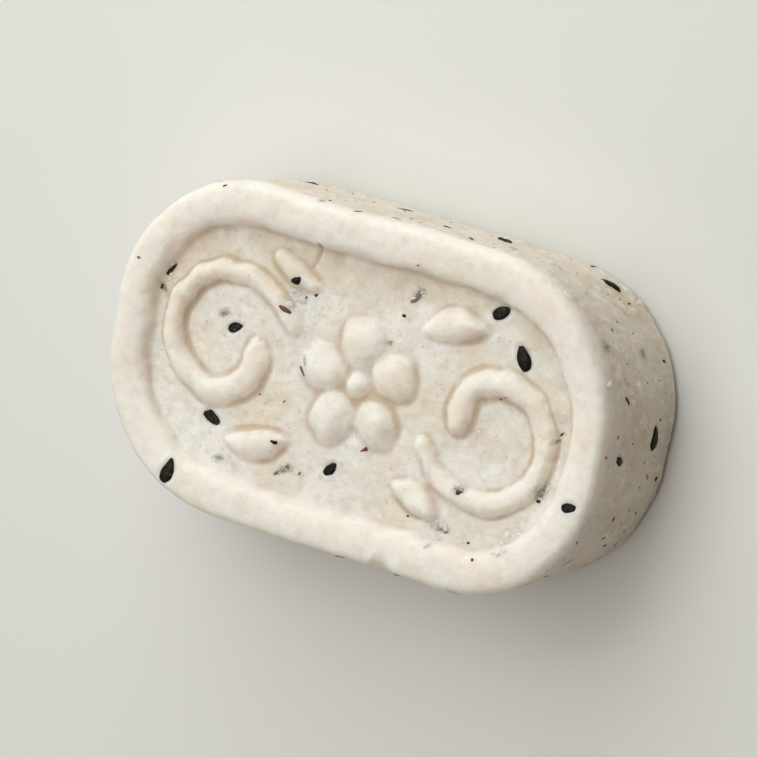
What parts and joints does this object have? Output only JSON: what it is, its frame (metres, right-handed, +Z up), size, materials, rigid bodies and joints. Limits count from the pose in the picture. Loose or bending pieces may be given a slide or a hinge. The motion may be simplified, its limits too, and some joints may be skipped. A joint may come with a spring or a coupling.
{
  "type": "eight treasure cake",
  "caption": "Moulded rice flour cake: a rounded oblong with a broad rim round a sunken panel in low relief, set with black sesame seeds and bits of red date.",
  "frame": {"origin": "on the flat underside, in the middle of the cake", "axes": "+X along the cake's length, +Y across it, +Z up out of the moulded face"},
  "size_m": [0.061, 0.0368, 0.0174],
  "materials": {
    "rice_cake": "Pale cream steamed rice flour, matt and finely sandy, smoother on the rim, with black sesame seeds and dark red date pieces pressed in."
  },
  "bodies": {
    "root": {"cake": "rice_cake"}
  },
  "joints": []
}
